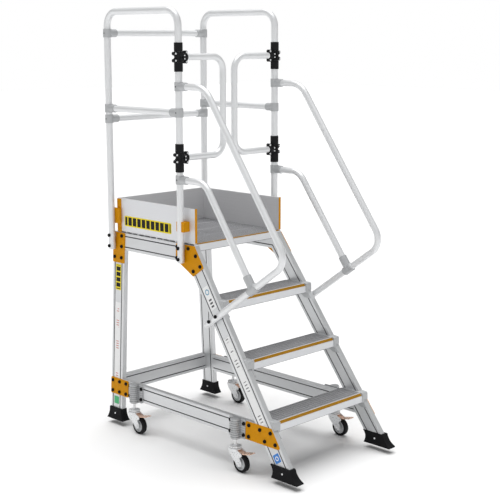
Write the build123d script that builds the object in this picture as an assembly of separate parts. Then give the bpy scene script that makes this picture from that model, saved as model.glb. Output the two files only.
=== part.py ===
"""Rolling warehouse ladder with a guarded platform, three treads and four sprung castors.

Frame: X to the right, Y to the rear (the stair rises from -Y to +Y), Z up, millimetres.
The origin is on the floor under the middle of the object's box. The ladder stands at rest on its
castors, whose springs hold the rubber feet FOOT_LIFT clear of the floor.

Heights named H_... are measured up from the underside of the feet. The two side frames lean
outwards at the bottom by SPLAY, and are drawn upright in a side frame of their own first:
x out from the outer face of its extrusions, y as above, z up from the underside of the feet.
"""
from build123d import *
import os
from math import atan, cos, degrees, hypot, radians, sin

# ---------------------------------------------------------------- driving dimensions
FOOT_LIFT = 24.0            # rubber feet above the floor while the castors carry the ladder
PLATFORM_H = 900.0          # platform above the feet
RISES = 4                   # equal rises from the ground to the platform
OUTER_HALF_WIDTH = 267.6    # outer face of a side frame at platform height
SPLAY_PER_H = 0.0468        # how far a side frame leans out for each mm down
BOX_LENGTH = 1222.5         # front foot tip to the back of the rear feet

BAR_W, BAR_T = 80.0, 25.0   # frame extrusion
BAR_WALL = 2.0
SLOT_OFFSET = 24.5          # tee slots from the middle of the broad face
SLOT_MOUTH, SLOT_W, SLOT_D = 5.0, 10.0, 3.0

POST_D, RAIL_D, TUBE_WALL = 30.0, 28.0, 2.0
SLEEVE_D, SLEEVE_H = 37.0, 38.0
SOCKET_REACH = 48.0         # sleeve axis to the mouth of its socket

POST_X = 290.7              # guardrail posts, either side
POST_PITCH = 477.0          # rear post to front post
REAR_EDGE_TO_POST = 32.5    # back of the box to the rear post axis
H_POST_FOOT = 812.0
H_GUARD_TOP = 1882.4        # axis of the top rail of a side guardrail
GUARD_BEND = 65.0
H_REAR_TOP, H_REAR_KNEE, H_SIDE_KNEE = 1789.0, 1408.8, 1456.6

H_UPPER_RAIL = 850.0        # middle of the extrusion under the platform
H_BASE_RAIL = 160.0
STAIR_RUN_PER_H = 0.7149    # stair slope, mm back for each mm up
STILE_FOOT_TO_POST = 1129.2  # rear post axis to the stile axis at the feet
LEG_BEHIND_AXIS = 15.5      # back of a rear leg behind the rear post axis

TREAD_DEPTH, TREAD_H = 122.0, 43.0
NOSE_OVERHANG = 27.0        # tread nose in front of the stile
DECK_NOSE_TO_POST = 67.0    # platform nose in front of the front posts

H_HANDRAIL, H_STAIR_KNEE = 1566.0, 1172.0
HANDRAIL_TOP_RUN, KNEE_TOP_RUN = 161.0, 156.0   # front post axis to the bend's corner
HANDRAIL_LEAN_PER_H = 0.0102
H_HANDRAIL_CORNER = 899.0   # where the handrail turns back to the stile
HANDRAIL_TAIL = 574.0       # length of that lower run
HANDRAIL_BEND, HANDRAIL_LOW_BEND, KNEE_BEND = 100.0, 70.0, 85.0

H_GATE_TOP, H_GATE_LOW = 1688.6, 1265.2
GATE_TO_MIDDLE = 34.5       # upright tube of a gate leaf from the middle plane
GATE_BEND = 60.0
COLLAR_H, CLAMP_H = 38.0, 44.0

TOE_X, TOE_T, TOE_H = 265.2, 12.0, 148.0
TOE_REAR_TO_POST = 17.0

CASTOR_Y = (-169.8, -838.7)  # castors in front of the rear post axis
STEM_OUT = 15.0             # castor stem outside the face of the base rail
WHEEL_D, WHEEL_W, TRAIL = 80.0, 24.0, 37.0
TYRE_T = 11.0               # tread surface to the wheel centre
H_CASTOR_HEAD = 80.0        # underside of the stem's plate

# ---------------------------------------------------------------- worked out from them
SPLAY = degrees(atan(SPLAY_PER_H))
RISE = PLATFORM_H / RISES
POST_REAR_Y = BOX_LENGTH / 2 - REAR_EDGE_TO_POST
POST_FRONT_Y = POST_REAR_Y - POST_PITCH
LEG_BACK_Y = POST_REAR_Y + LEG_BEHIND_AXIS
LEG_Y = LEG_BACK_Y - BAR_W / 2
LEG_FRONT_Y = LEG_BACK_Y - BAR_W
STILE_FOOT_Y = POST_REAR_Y - STILE_FOOT_TO_POST
STAIR_ANGLE = degrees(atan(STAIR_RUN_PER_H))
STAIR_STRETCH = hypot(1, STAIR_RUN_PER_H)
STILE_HALF_Y = BAR_W / 2 * STAIR_STRETCH    # half the stile's width measured level
DECK_NOSE_Y = POST_FRONT_Y - DECK_NOSE_TO_POST
H_UPPER_TOP = H_UPPER_RAIL + BAR_W / 2
H_UPPER_LOW = H_UPPER_RAIL - BAR_W / 2
SIDES = {"left": -1, "right": 1}

PLATE_T = 3.0               # gusset plates
BOLT_HEAD_D, BOLT_HEAD_H, BOLT_SHANK_D = 16.0, 7.0, 4.8
HEAD_SEAT = 0.8             # bolt heads stand this far off a tube that leans to them
BOLT_GRIP = 2.5             # shank length behind a face or a plate


# ---------------------------------------------------------------- frames of reference
def side_frame(shape, side):
    """Place a shape drawn in the upright side frame on the left or right of the ladder."""
    lean = Pos(OUTER_HALF_WIDTH, 0, PLATFORM_H + FOOT_LIFT) * Rot(0, -SPLAY, 0) * Pos(0, 0, -PLATFORM_H)
    placed = lean * shape
    return placed if side > 0 else mirror(placed, Plane.YZ)


def upright(shape, side):
    """Place a shape drawn for the right with z from the feet, without any lean."""
    placed = Pos(0, 0, FOOT_LIFT) * shape
    return placed if side > 0 else mirror(placed, Plane.YZ)


def both_sides(place, shape):
    return [place(shape, side) for side in SIDES.values()]


def outer_face_x(h):
    """Outer face of a side frame at a height above the feet."""
    return OUTER_HALF_WIDTH + SPLAY_PER_H * (PLATFORM_H - h)


def stile_y(h):
    return STILE_FOOT_Y + STAIR_RUN_PER_H * h


# ---------------------------------------------------------------- shared shapes
def side_prism(points, x0, x1, corner=0.0):
    """Solid between x0 and x1 whose outline in the side view is a list of (y, z)."""
    outline = make_face(Polyline(*points, close=True))
    if corner:
        outline = fillet(outline.vertices(), corner)
    plane = Plane(origin=(x0, 0, 0), x_dir=(0, 1, 0), z_dir=(1, 0, 0))
    return extrude(plane * outline, x1 - x0)


def x_rod(diameter, x0, x1, y, z):
    return Pos(x0, y, z) * Rot(0, 90, 0) * Cylinder(
        diameter / 2, x1 - x0, align=(Align.CENTER, Align.CENTER, Align.MIN))


def z_rod(diameter, z0, z1, x=0.0, y=0.0):
    return Pos(x, y, z0) * Cylinder(diameter / 2, z1 - z0, align=(Align.CENTER, Align.CENTER, Align.MIN))


def block(x0, x1, y0, y1, z0, z1):
    return Pos(x0, y0, z0) * Box(x1 - x0, y1 - y0, z1 - z0, align=(Align.MIN, Align.MIN, Align.MIN))


def bar_section():
    """Hollow 80 x 25 extrusion with two tee slots in each broad face; broad side along y."""
    outline = RectangleRounded(BAR_T, BAR_W, 2.5)
    hollow = Rectangle(BAR_T - 2 * BAR_WALL, BAR_W - 2 * BAR_WALL)
    slots = Sketch()
    for y in (-SLOT_OFFSET, SLOT_OFFSET):
        for side in (-1, 1):
            channel_depth = BAR_WALL + SLOT_D + 1.5
            hollow -= Pos(side * (BAR_T - channel_depth) / 2, y) * Rectangle(channel_depth, SLOT_W + 4)
            pocket_x = side * (BAR_T / 2 - BAR_WALL - SLOT_D / 2)
            slots += Pos(pocket_x, y) * Rectangle(SLOT_D, SLOT_W)
            slots += Pos(side * (BAR_T - BAR_WALL) / 2, y) * Rectangle(BAR_WALL + 0.2, SLOT_MOUTH)
    return outline - hollow - slots


def bar(length):
    """Extrusion of a given length up from z = 0, broad faces to the sides."""
    return extrude(bar_section(), length)


def in_bar_plane(shape):
    """Move a bar drawn about z so that its outer face is the side frame's outer face."""
    return Pos(-BAR_T / 2, 0, 0) * shape


def level_bar(y0, y1, h):
    """Side-frame extrusion lying level from y0 to y1 with its middle at height h."""
    return in_bar_plane(Pos(0, y1, h) * Rot(90, 0, 0) * bar(y1 - y0))


def tube(points, diameter, bends, wall=TUBE_WALL):
    """Round tube along straight runs joined by bends; its ends are open."""
    path = FilletPolyline(*points, radius=bends) if len(points) > 2 else Line(*points)
    start = Plane(origin=path @ 0, z_dir=path % 0)
    ring = Circle(diameter / 2) - Circle(diameter / 2 - wall)
    return sweep(start * ring, path=path)


def solid_rod(ends, diameter):
    path = Line(*ends)
    return sweep(Plane(origin=path @ 0, z_dir=path % 0) * Circle(diameter / 2), path=path)


def bolt(y, z, x=0.0, reach=6.5):
    """Button-head bolt on an outer face at x, its shank reaching in through plate and slot."""
    head = x_rod(BOLT_HEAD_D, x, x + BOLT_HEAD_H, y, z)
    head = fillet(head.edges().filter_by(GeomType.CIRCLE).sort_by(Axis.X)[-1], BOLT_HEAD_H * 0.6)
    socket = Pos(x + BOLT_HEAD_H, y, z) * Rot(0, -90, 0) * extrude(RegularPolygon(3.2, 6), 3)
    return head - socket + x_rod(BOLT_SHANK_D, x - reach, x, y, z)


def named(shapes):
    return Compound(children=list(shapes)) if isinstance(shapes, (list, tuple)) else shapes


# ---------------------------------------------------------------- frame extrusions
def mitre_corners():
    """Ends of the mitre between upper rail and stile, as (y, z) in the side frame."""
    inner = (stile_y(H_UPPER_LOW) + STILE_HALF_Y, H_UPPER_LOW)
    outer = (stile_y(H_UPPER_TOP) - STILE_HALF_Y, H_UPPER_TOP)
    return inner, outer


def rear_leg():
    foot_h = 8.0
    return Pos(0, LEG_Y, foot_h) * in_bar_plane(bar(H_UPPER_LOW - foot_h))


def upper_rail():
    inner, outer = mitre_corners()
    keep = side_prism([(LEG_BACK_Y, H_UPPER_LOW), (LEG_BACK_Y, H_UPPER_TOP), outer, inner], -BAR_T, 0)
    return level_bar(outer[0], LEG_BACK_Y, H_UPPER_RAIL) & keep


def stile():
    foot_h = 10.0
    inner, outer = mitre_corners()
    length = (PLATFORM_H + BAR_W) * STAIR_STRETCH
    sloped = Pos(0, stile_y(0), 0) * Rot(-STAIR_ANGLE, 0, 0) * Pos(0, 0, -BAR_W) * bar(length)
    margin = 60.0
    keep = side_prism([
        (stile_y(foot_h) - STILE_HALF_Y - margin, foot_h),
        (stile_y(foot_h) + STILE_HALF_Y + margin, foot_h),
        (inner[0] + margin, inner[1] - margin), inner, outer, (outer[0] - margin, outer[1]),
    ], -BAR_T, 0)
    return in_bar_plane(sloped) & keep


def base_rail():
    low, top = H_BASE_RAIL - BAR_W / 2, H_BASE_RAIL + BAR_W / 2
    front_low, front_top = stile_y(low) + STILE_HALF_Y, stile_y(top) + STILE_HALF_Y
    keep = side_prism([
        (LEG_FRONT_Y, low), (LEG_FRONT_Y, top), (front_top, top), (front_low, low)], -BAR_T, 0)
    return level_bar(front_low, LEG_FRONT_Y, H_BASE_RAIL) & keep


def cross_bar(h, y_front):
    """Extrusion across the ladder with its ends trimmed to the leaning side frames."""
    half = outer_face_x(h)
    along_x = Pos(-half, y_front + BAR_T / 2, h + FOOT_LIFT) * Rot(0, 90, 0) * Rot(0, 0, 90) * bar(2 * half)
    return trim_to_sides(along_x, BAR_T)


def trim_to_sides(shape, depth):
    """Cut away what reaches outside a plane set in from the outer faces by depth."""
    reach = 400.0
    outside = block(-depth, reach, -BOX_LENGTH, BOX_LENGTH, -reach, PLATFORM_H + reach)
    for side in SIDES.values():
        shape = shape - side_frame(outside, side)
    return shape


def frame_nodes():
    nodes = {}
    for name, side in SIDES.items():
        nodes[f"rear_leg_{name}"] = side_frame(rear_leg(), side)
        nodes[f"stile_{name}"] = side_frame(stile(), side)
        nodes[f"upper_rail_{name}"] = side_frame(upper_rail(), side)
        nodes[f"base_rail_{name}"] = side_frame(base_rail(), side)
    nodes["base_rail_rear"] = cross_bar(H_BASE_RAIL, LEG_BACK_Y - BAR_T)
    nodes["deck_rear_beam"] = cross_bar(H_UPPER_RAIL, LEG_BACK_Y - BAR_T)
    return nodes


# ---------------------------------------------------------------- platform and treads
GROOVE_W, GROOVE_DEPTH = 2.2, 1.6
TREAD_GROOVE_W, TREAD_GROOVE_PITCH = 5.5, 17.0
TREAD_BEVEL, DECK_BEVEL, PLANK_EDGE = 13.0, 6.0, 2.0    # a grip strip lies on each bevel
STRIP_T, STRIP_PROUD = 2.0, 0.8
BRACKET_T = 12.0
DECK_REAR_Y = POST_REAR_Y - TOE_REAR_TO_POST - TOE_T
DECK_T = 36.0
PLANKS = 4


def plank_outline(depth, height, bevel):
    """Side view of a hollow plank: nose at y = 0, walking surface at z = 0."""
    outline = make_face(Polyline((0, 0), (depth, 0), (depth, -height), (0, -height), close=True))
    front = outline.vertices().sort_by(Axis.X)[:2]
    outline = chamfer(front.sort_by(Axis.Y)[-1], bevel)
    outline = fillet(outline.vertices().sort_by(Axis.Y)[:2], 3)
    wall = 2.4
    ribs = 3
    cell = (depth - wall * (ribs + 1)) / ribs
    for i in range(ribs):
        middle = wall + cell / 2 + i * (cell + wall)
        shrink = bevel if i == 0 else 0
        outline -= Pos(middle + shrink / 2, -height / 2) * RectangleRounded(
            cell - shrink, height - 2 * (wall + GROOVE_DEPTH), 2)
    return outline


def on_bevel(bevel, sunk, shape):
    """Put a shape on the middle of a plank's bevel, sunk into it."""
    inward = sunk / 2 ** 0.5
    return Pos(bevel / 2 + inward, -bevel / 2 - inward) * Rot(0, 0, 45) * shape


def across(section, half_width):
    """Carry a side view across the ladder."""
    plane = Plane(origin=(-half_width, 0, 0), x_dir=(0, 1, 0), z_dir=(1, 0, 0))
    return extrude(plane * section, 2 * half_width)


def plank(half_width, depth, height, bevel, first_groove, pitch, groove_w, strip=True):
    """Plank across the ladder with grooves along its top and a seat for its grip strip."""
    section = plank_outline(depth, height, bevel)
    count = int((depth - 8 - first_groove) // pitch) + 1
    for i in range(count):
        section -= Pos(first_groove + i * pitch, 0) * Rectangle(groove_w, 2 * GROOVE_DEPTH)
    if strip:
        section -= on_bevel(bevel, 0, Rectangle(bevel, 2 * (STRIP_T - STRIP_PROUD)))
    return across(section, half_width)


def grip_strip(half_width, y_nose, h, bevel):
    section = on_bevel(bevel, STRIP_T / 2 - STRIP_PROUD, Rectangle(bevel, STRIP_T))
    return Pos(0, y_nose, h + FOOT_LIFT) * across(section, half_width)


def tread_place(step):
    """Nose position and height of a tread, counted from the ground up."""
    h = step * RISE
    return stile_y(h) - STILE_HALF_Y - NOSE_OVERHANG, h


def tread(step):
    y_nose, h = tread_place(step)
    shape = Pos(0, y_nose, h + FOOT_LIFT) * plank(
        outer_face_x(0), TREAD_DEPTH, TREAD_H, TREAD_BEVEL, 27, TREAD_GROOVE_PITCH, TREAD_GROOVE_W)
    return trim_to_sides(shape, BAR_T + BRACKET_T)


def tread_bracket(step):
    """Cast end bracket: a plate against the stile and a lip that wraps round its front."""
    y_nose, h = tread_place(step)
    top, low = h + 1.5, h - TREAD_H - 3
    lip_low = h - 66.0
    back = y_nose + TREAD_DEPTH
    front = y_nose - 2.5

    def stile_front(z):
        return stile_y(z) - STILE_HALF_Y

    plate = side_prism([
        (front, top), (back, top), (back, top - 14), (y_nose + 70, low), (front, low)],
        -BAR_T - BRACKET_T, -BAR_T, corner=6)
    tongue_back = stile_front(lip_low) + 34
    tongue = side_prism([
        (front + 10, low + 8), (y_nose + 62, low + 8),
        (tongue_back, lip_low), (stile_front(lip_low), lip_low)], -BAR_T - 5, -BAR_T)
    lip_foot = h - (NOSE_OVERHANG + 2.5 - 6) / STAIR_RUN_PER_H
    lip = side_prism([
        (front, top), (stile_front(top), top), (stile_front(lip_foot), lip_foot), (front, lip_foot)],
        -BAR_T, -2)
    lip = fillet(lip.edges().filter_by(Axis.X).sort_by(Axis.Y)[:2].sort_by(Axis.Z)[-1], 9)
    return plate + tongue + lip


def deck_planks():
    depth = (DECK_REAR_Y - DECK_NOSE_Y) / PLANKS
    half = TOE_X
    planks = []
    for i in range(PLANKS):
        front = i == 0
        bevel = DECK_BEVEL if front else PLANK_EDGE
        first_groove = 25 if front else 6
        shape = plank(half, depth - 0.6, DECK_T, bevel, first_groove, 10.5, GROOVE_W, strip=front)
        shape = Pos(0, DECK_NOSE_Y + i * depth, PLATFORM_H + FOOT_LIFT) * shape
        shape -= upright(block(-400, 400, -BOX_LENGTH, BOX_LENGTH, 0, PLATFORM_H - 10), 1) - deck_well()
        planks.append(shape)
    return planks


def deck_well():
    """Room between the side frames and behind the stiles that the planks hang down into."""
    room = block(-TOE_X, TOE_X, DECK_NOSE_Y - 1, BOX_LENGTH, 0, PLATFORM_H + FOOT_LIFT)
    room = trim_to_sides(room, BAR_T)
    beam = block(-TOE_X, TOE_X, LEG_BACK_Y - BAR_T, BOX_LENGTH, 0, PLATFORM_H + FOOT_LIFT)
    return room - beam


def walking_nodes():
    nodes = {f"tread_{name}": tread(step) for step, name in enumerate(("lower", "middle", "upper"), 1)}
    strips = [grip_strip(TOE_X - TOE_T, DECK_NOSE_Y, PLATFORM_H, DECK_BEVEL)]
    brackets = []
    for step in range(1, RISES):
        y_nose, h = tread_place(step)
        strips.append(grip_strip(outer_face_x(h) - BAR_T - BRACKET_T - 1, y_nose, h, TREAD_BEVEL))
        brackets += both_sides(side_frame, tread_bracket(step))
    nodes["grip_strips"] = strips
    nodes["tread_brackets"] = brackets
    nodes["deck_planks"] = deck_planks()
    return nodes


# ---------------------------------------------------------------- guardrails
RAIL_END = POST_D / 2 + 3   # rails stop this far from the axis of the post they meet
TEE_HALF_LENGTH, TEE_REACH = 26.0, 62.0
TEE_BORE_START = RAIL_D / 2 + 5


def post_bolt_places():
    return [(y, H_UPPER_RAIL + dz) for y in (POST_REAR_Y, POST_FRONT_Y) for dz in (-SLOT_OFFSET, SLOT_OFFSET)]


def post_bolt_x(h):
    """Seat of a bolt head on the outer side of a post, measured out from the leaning frame."""
    return POST_X + POST_D / 2 + HEAD_SEAT - outer_face_x(h)


def side_guardrail(side):
    path = [
        (POST_X, POST_REAR_Y, H_POST_FOOT), (POST_X, POST_REAR_Y, H_GUARD_TOP),
        (POST_X, POST_FRONT_Y, H_GUARD_TOP), (POST_X, POST_FRONT_Y, H_POST_FOOT)]
    rail = upright(tube(path, POST_D, [GUARD_BEND, GUARD_BEND]), side)
    for y, h in post_bolt_places():
        rail -= side_frame(x_rod(BOLT_SHANK_D, -5, 60, y, h), side)
    return rail


def saddle(y, h, tube_solid, side, start, reach, half_depth):
    """Packer between a frame face and a tube, hollowed to the tube, with its bolt hole."""
    half_height = 10
    shape = block(start, reach, y - half_depth, y + half_depth, h - half_height, h + half_height)
    shape -= x_rod(BOLT_SHANK_D, -1, 60, y, h)
    return side_frame(shape, side) - tube_solid


def sleeve_clamp(y, h, direction):
    """Cast clamp on a right-hand post: a sleeve with a socket pointing along direction."""
    sleeve = z_rod(SLEEVE_D, -SLEEVE_H / 2, SLEEVE_H / 2)
    sleeve = chamfer(sleeve.edges().filter_by(GeomType.CIRCLE), 1.2)
    neck = Cylinder(SLEEVE_D / 2 - 0.5, SOCKET_REACH, align=(Align.CENTER, Align.CENTER, Align.MIN))
    rim = neck.edges().filter_by(GeomType.CIRCLE).sort_by(Axis.Z)[-1]
    neck = fillet(rim, 4)
    bore = Pos(0, 0, POST_D / 2 + 2) * Cylinder(
        RAIL_D / 2, SOCKET_REACH, align=(Align.CENTER, Align.CENTER, Align.MIN))
    turn = {"+y": Rot(-90, 0, 0), "-y": Rot(90, 0, 0), "-x": Rot(0, -90, 0)}[direction]
    shape = sleeve + turn * neck - turn * bore - z_rod(POST_D, -SLEEVE_H, SLEEVE_H)
    return Pos(POST_X, y, h) * shape


def lean_out(shape, h, lean_per_h=HANDRAIL_LEAN_PER_H):
    """Lean a stair rail out from its post, about its own top at height h."""
    return Pos(POST_X, 0, h) * Rot(0, -degrees(atan(lean_per_h)), 0) * Pos(-POST_X, 0, -h) * shape


def handrail_corners():
    """Corners of the handrail in the side view, from the post down to its end on the stile."""
    top = (POST_FRONT_Y - HANDRAIL_TOP_RUN, H_HANDRAIL)
    drop = H_HANDRAIL - H_HANDRAIL_CORNER
    corner = (top[0] - drop * STAIR_RUN_PER_H, H_HANDRAIL_CORNER)
    back, down = 1 / STAIR_STRETCH, STAIR_RUN_PER_H / STAIR_STRETCH
    end = (corner[0] + HANDRAIL_TAIL * back, corner[1] - HANDRAIL_TAIL * down)
    return top, corner, end


def in_post_plane(points):
    return [(POST_X, y, z) for y, z in points]


def handrail():
    top, corner, end = handrail_corners()
    path = in_post_plane([(POST_FRONT_Y - RAIL_END, H_HANDRAIL), top, corner, end])
    return lean_out(tube(path, RAIL_D, [HANDRAIL_BEND, HANDRAIL_LOW_BEND]), H_HANDRAIL)


def stair_knee_end():
    """Where the stair knee rail meets the handrail's lower run, in the side view."""
    _, corner, _ = handrail_corners()
    top = (POST_FRONT_Y - KNEE_TOP_RUN, H_STAIR_KNEE)
    back, down = 1 / STAIR_STRETCH, STAIR_RUN_PER_H / STAIR_STRETCH
    offset = (top[0] - corner[0]) * back - (top[1] - corner[1]) * down
    return corner[0] + offset * back, corner[1] - offset * down


def knee_lean():
    """Lean of the knee rail that brings its lower end out to the handrail."""
    _, end_h = stair_knee_end()
    return HANDRAIL_LEAN_PER_H * (H_HANDRAIL - end_h) / (H_STAIR_KNEE - end_h)


def up_the_knee_rail(distance):
    """Point on the knee rail's sloping run, up from where it meets the handrail."""
    end_y, end_h = stair_knee_end()
    slope = radians(STAIR_ANGLE)
    return end_y + distance * sin(slope), end_h + distance * cos(slope)


def stair_knee_rail():
    corner = (POST_FRONT_Y - KNEE_TOP_RUN, H_STAIR_KNEE)
    path = in_post_plane([(POST_FRONT_Y - RAIL_END, H_STAIR_KNEE), corner, up_the_knee_rail(TEE_BORE_START)])
    return lean_out(tube(path, RAIL_D, [KNEE_BEND]), H_STAIR_KNEE, knee_lean())


def handrail_tee():
    """Cast tee that clamps round the handrail and takes the end of the knee rail."""
    end_y, end_h = stair_knee_end()
    sleeve = z_rod(SLEEVE_D, -TEE_HALF_LENGTH, TEE_HALF_LENGTH)
    sleeve = chamfer(sleeve.edges().filter_by(GeomType.CIRCLE), 1.5)
    socket = Rot(90, 0, 0) * Cylinder(
        SLEEVE_D / 2 - 0.5, TEE_REACH, align=(Align.CENTER, Align.CENTER, Align.MIN))
    shape = sleeve + socket - z_rod(RAIL_D, -2 * TEE_HALF_LENGTH, 2 * TEE_HALF_LENGTH)
    shape = lean_out(Pos(POST_X, end_y, end_h) * Rot(-90 - STAIR_ANGLE, 0, 0) * shape, H_HANDRAIL)
    start, beyond = up_the_knee_rail(TEE_BORE_START), up_the_knee_rail(2 * TEE_REACH)
    bore = solid_rod(in_post_plane([start, beyond]), RAIL_D)
    return shape - lean_out(bore, H_STAIR_KNEE, knee_lean())


def handrail_bolt_places():
    """Bolts through the handrail's tail into the two slots of the stile, in the side frame."""
    _, corner, end = handrail_corners()
    slope = (end[1] - corner[1]) / (end[0] - corner[0])
    places = []
    for offset in (-SLOT_OFFSET, SLOT_OFFSET):
        # the tail z = corner_z + slope (y - corner_y) meets the slot y = stile_y(z) + offset * stretch
        slot_y0 = STILE_FOOT_Y + offset * STAIR_STRETCH
        z = (corner[1] + slope * (slot_y0 - corner[0])) / (1 - slope * STAIR_RUN_PER_H)
        places.append((slot_y0 + STAIR_RUN_PER_H * z, z))
    return places


def handrail_bolt_x(h):
    return POST_X + HANDRAIL_LEAN_PER_H * (H_HANDRAIL - h) + RAIL_D / 2 + HEAD_SEAT - outer_face_x(h)


def guard_nodes():
    nodes = {}
    saddles, knees, stair_knees = [], [], []
    for name, side in SIDES.items():
        rail = side_guardrail(side)
        nodes[f"guardrail_{name}"] = rail
        for y, h in post_bolt_places():
            post = upright(z_rod(POST_D, 0, H_HANDRAIL, POST_X, y), side)
            saddles.append(saddle(y, h, post, side, start=PLATE_T, reach=16.0, half_depth=6.0))
        stair_rail = upright(handrail(), side)
        tail = upright(handrail_tail_rod(), side)
        for y, h in handrail_bolt_places():
            stair_rail -= side_frame(x_rod(BOLT_SHANK_D, -5, 70, y, h), side)
            saddles.append(saddle(y, h, tail, side, start=0.0, reach=16.0, half_depth=6.0))
        nodes[f"handrail_{name}"] = stair_rail
        y0, y1 = POST_FRONT_Y + RAIL_END, POST_REAR_Y - RAIL_END
        knees.append(upright(tube([(POST_X, y0, H_SIDE_KNEE), (POST_X, y1, H_SIDE_KNEE)], RAIL_D, []), side))
        stair_knees.append(upright(stair_knee_rail(), side))
    inner_x = POST_X - RAIL_END
    nodes["rear_rails"] = [
        upright(tube([(-inner_x, POST_REAR_Y, h), (inner_x, POST_REAR_Y, h)], RAIL_D, []), 1)
        for h in (H_REAR_TOP, H_REAR_KNEE)]
    nodes["side_knee_rails"] = knees
    nodes["stair_knee_rails"] = stair_knees
    clamps = [
        sleeve_clamp(POST_REAR_Y, H_REAR_TOP, "-x"), sleeve_clamp(POST_REAR_Y, H_REAR_KNEE, "-x"),
        sleeve_clamp(POST_REAR_Y, H_SIDE_KNEE, "-y"), sleeve_clamp(POST_FRONT_Y, H_SIDE_KNEE, "+y"),
        sleeve_clamp(POST_FRONT_Y, H_HANDRAIL, "-y"), sleeve_clamp(POST_FRONT_Y, H_STAIR_KNEE, "-y"),
        handrail_tee()]
    nodes["tube_clamps"] = saddles + [placed for clamp in clamps for placed in both_sides(upright, clamp)]
    return nodes


def handrail_tail_rod():
    _, corner, end = handrail_corners()
    return lean_out(solid_rod(in_post_plane([corner, end]), RAIL_D), H_HANDRAIL)


# ---------------------------------------------------------------- toe boards
def toe_board_nodes():
    low, top = PLATFORM_H + FOOT_LIFT, PLATFORM_H + FOOT_LIFT + TOE_H
    front, rear = DECK_NOSE_Y + 3, DECK_REAR_Y
    boards, trims = [], []
    for side in SIDES.values():
        board = block(TOE_X - TOE_T, TOE_X, front, rear + TOE_T, low, top)
        board -= block(TOE_X - TOE_T + 1.5, TOE_X - 1.5, front - 1, rear + TOE_T - 4, low + 4, top - 4)
        cap = block(TOE_X - TOE_T + 0.5, TOE_X, front - 2, front, low, top + 2)
        corner = block(TOE_X, TOE_X + 3, rear - 12, rear + TOE_T + 3, low - 8, top - 3)
        cleat = block(TOE_X, POST_X + 8, POST_FRONT_Y - 31, POST_FRONT_Y + 18, low + 48, low + 92)
        cleat = fillet(cleat.edges().filter_by(Axis.X), 5)
        pad_y = rear - 10
        pad = block(TOE_X + 3, POST_X - POST_D / 2 + 4, pad_y - 4, POST_REAR_Y + 12, low + 32, low + 102)
        pad = fillet(pad.edges().filter_by(Axis.X), 7)
        posts = z_rod(POST_D, 0, 2000, POST_X, POST_FRONT_Y) + z_rod(POST_D, 0, 2000, POST_X, POST_REAR_Y)
        for shape in (cap, corner, cleat - posts, pad - posts):
            trims.append(shape if side > 0 else mirror(shape, Plane.YZ))
        boards.append(board if side > 0 else mirror(board, Plane.YZ))
    half = TOE_X - TOE_T
    back = block(-half, half, rear, rear + TOE_T, low, top)
    boards.append(back - block(-half + 4, half - 4, rear + 1.5, rear + TOE_T - 1.5, low + 4, top - 4))
    return {"toe_boards": boards, "toe_board_brackets": trims}


# ---------------------------------------------------------------- gusset plates and bolts
PLATE_MARGIN = 1.0          # plates stop this far inside the extrusion's edge


def stile_slot_bolt(h, offset):
    """Bolt place on a stile slot, nominally at height h; offset is -1 rear slot, +1 front slot."""
    return stile_y(h) - offset * SLOT_OFFSET * STAIR_STRETCH, h


def gussets():
    """Outlines (y, z) and bolt places of the four plates on a side frame."""
    low_b, top_b = H_BASE_RAIL - BAR_W / 2 + PLATE_MARGIN, H_BASE_RAIL + BAR_W / 2 - PLATE_MARGIN
    slot_low, slot_top = -SLOT_OFFSET, SLOT_OFFSET
    rear_edge, rear_slot, front_slot = LEG_BACK_Y - PLATE_MARGIN, LEG_Y + SLOT_OFFSET, LEG_Y - SLOT_OFFSET
    leg_front = LEG_FRONT_Y - 4
    upper_top, upper_low = H_UPPER_TOP - PLATE_MARGIN, 748.0
    upper_rear = ([(rear_edge, upper_top), (leg_front, upper_top),
                   (leg_front, upper_low), (rear_edge, upper_low)],
                  [(front_slot, H_UPPER_RAIL + slot_top), (front_slot, H_UPPER_RAIL + slot_low),
                   (rear_slot, 773), (front_slot, 773)])
    lower_front_y = LEG_FRONT_Y - 47
    lower_rear = ([(rear_edge, top_b), (lower_front_y, top_b), (lower_front_y, low_b), (rear_edge, low_b)],
                  [(y, H_BASE_RAIL + dz) for dz in (slot_low, slot_top)
                   for y in (rear_slot, front_slot, LEG_FRONT_Y - 32)])
    knee_y = POST_FRONT_Y + 53
    stile_front_top = stile_y(upper_top) - STILE_HALF_Y + PLATE_MARGIN
    cut_h, across = 757.0, BAR_W - 2 * PLATE_MARGIN
    cut_rear = (stile_y(cut_h) + STILE_HALF_Y - PLATE_MARGIN, cut_h)
    cut_front = (cut_rear[0] - across / STAIR_STRETCH, cut_h + across * STAIR_RUN_PER_H / STAIR_STRETCH)
    upper_front = ([(knee_y, upper_top), (stile_front_top, upper_top), cut_front, cut_rear,
                    (knee_y, H_UPPER_LOW + 8)],
                   [(POST_FRONT_Y + 44, H_UPPER_RAIL + slot_top),
                    (POST_FRONT_Y + 44, H_UPPER_RAIL + slot_low),
                    (POST_FRONT_Y - 28, H_UPPER_RAIL + slot_top), stile_slot_bolt(848, 1),
                    stile_slot_bolt(806, 1), stile_slot_bolt(780, -1)])
    shin_y = POST_REAR_Y - 887
    lower_front = ([(shin_y, top_b), (stile_y(top_b) - STILE_HALF_Y + 2, top_b),
                    (stile_y(128) - STILE_HALF_Y + 2, 128), (stile_y(low_b) - STILE_HALF_Y + 16, low_b),
                    (shin_y, low_b)],
                   [(shin_y - 20, H_BASE_RAIL + slot_low), (shin_y - 20, H_BASE_RAIL + slot_top),
                    stile_slot_bolt(180, -1), stile_slot_bolt(180, 1),
                    stile_slot_bolt(138, -1), stile_slot_bolt(138, 1)])
    return {"upper_rear": upper_rear, "lower_rear": lower_rear,
            "upper_front": upper_front, "lower_front": lower_front}


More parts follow.
